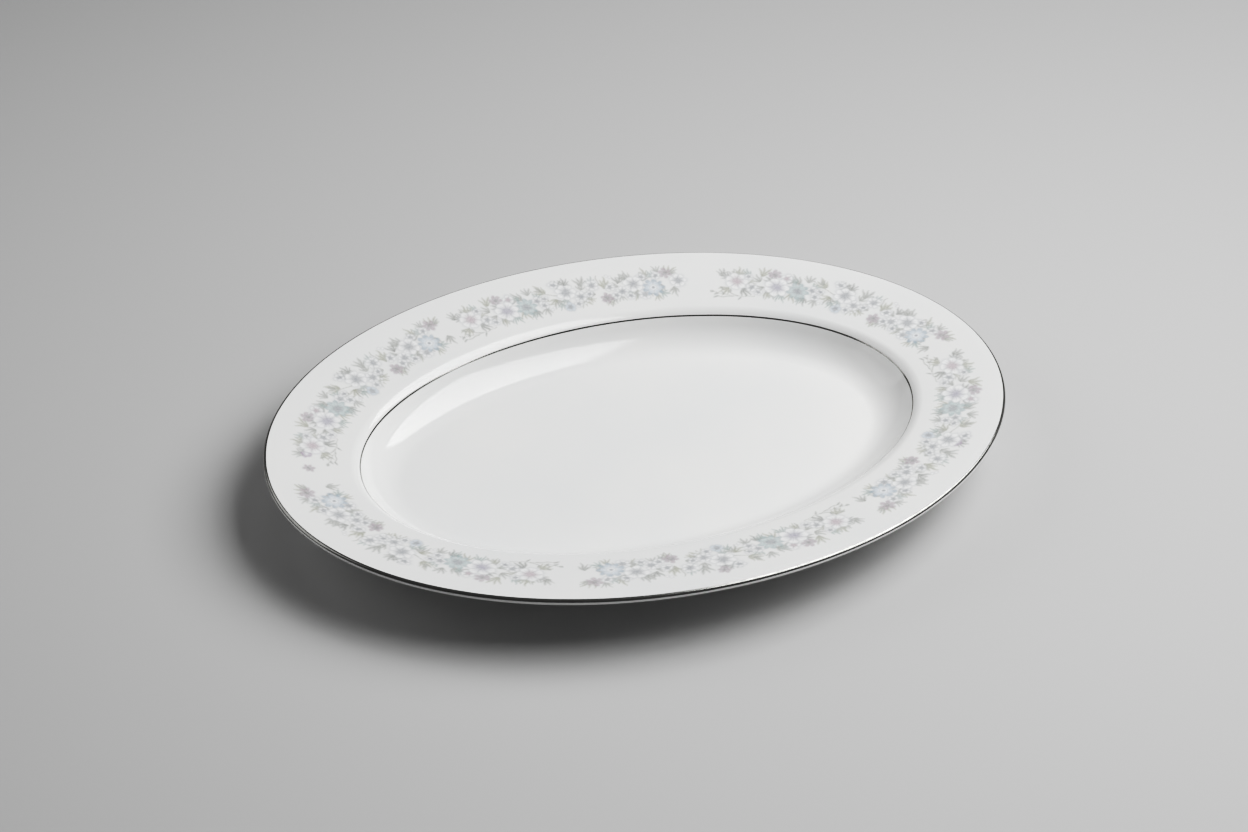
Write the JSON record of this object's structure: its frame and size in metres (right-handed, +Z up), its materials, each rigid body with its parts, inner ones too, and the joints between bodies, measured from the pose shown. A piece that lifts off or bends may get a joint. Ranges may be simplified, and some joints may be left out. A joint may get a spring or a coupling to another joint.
{
  "type": "serving platter",
  "caption": "Oval china serving platter with a broad sloping rim, a shallow flat-bottomed well, floral transfer sprays and thin platinum lines, standing on an oval foot ring.",
  "frame": {"origin": "centre of the foot ring's oval, on the plane that the foot ring stands on", "axes": "+X along the platter's long axis, +Y along its short axis, +Z up out of the well"},
  "size_m": [0.3562, 0.2552, 0.03],
  "materials": {
    "bisque": "unglazed, fine matt, slightly warm white",
    "glaze": "clear glossy glaze over white porcelain",
    "platinum": "thin bright platinum line, slightly worn",
    "transfer": "pale blue, teal, mauve and grey-green floral transfer under a glossy glaze",
    "backstamp": "grey-blue printed sprig, no lettering"
  },
  "bodies": {
    "root": {"porcelain_body": "bisque", "glaze_coat": "glaze", "base_glaze": "glaze", "platinum_edge_line": "platinum", "platinum_verge_line": "platinum", "floral_spray_1": "transfer", "floral_spray_2": "transfer", "floral_spray_3": "transfer", "floral_spray_4": "transfer", "floral_spray_5": "transfer", "floral_spray_6": "transfer", "backstamp": "backstamp"}
  },
  "joints": []
}
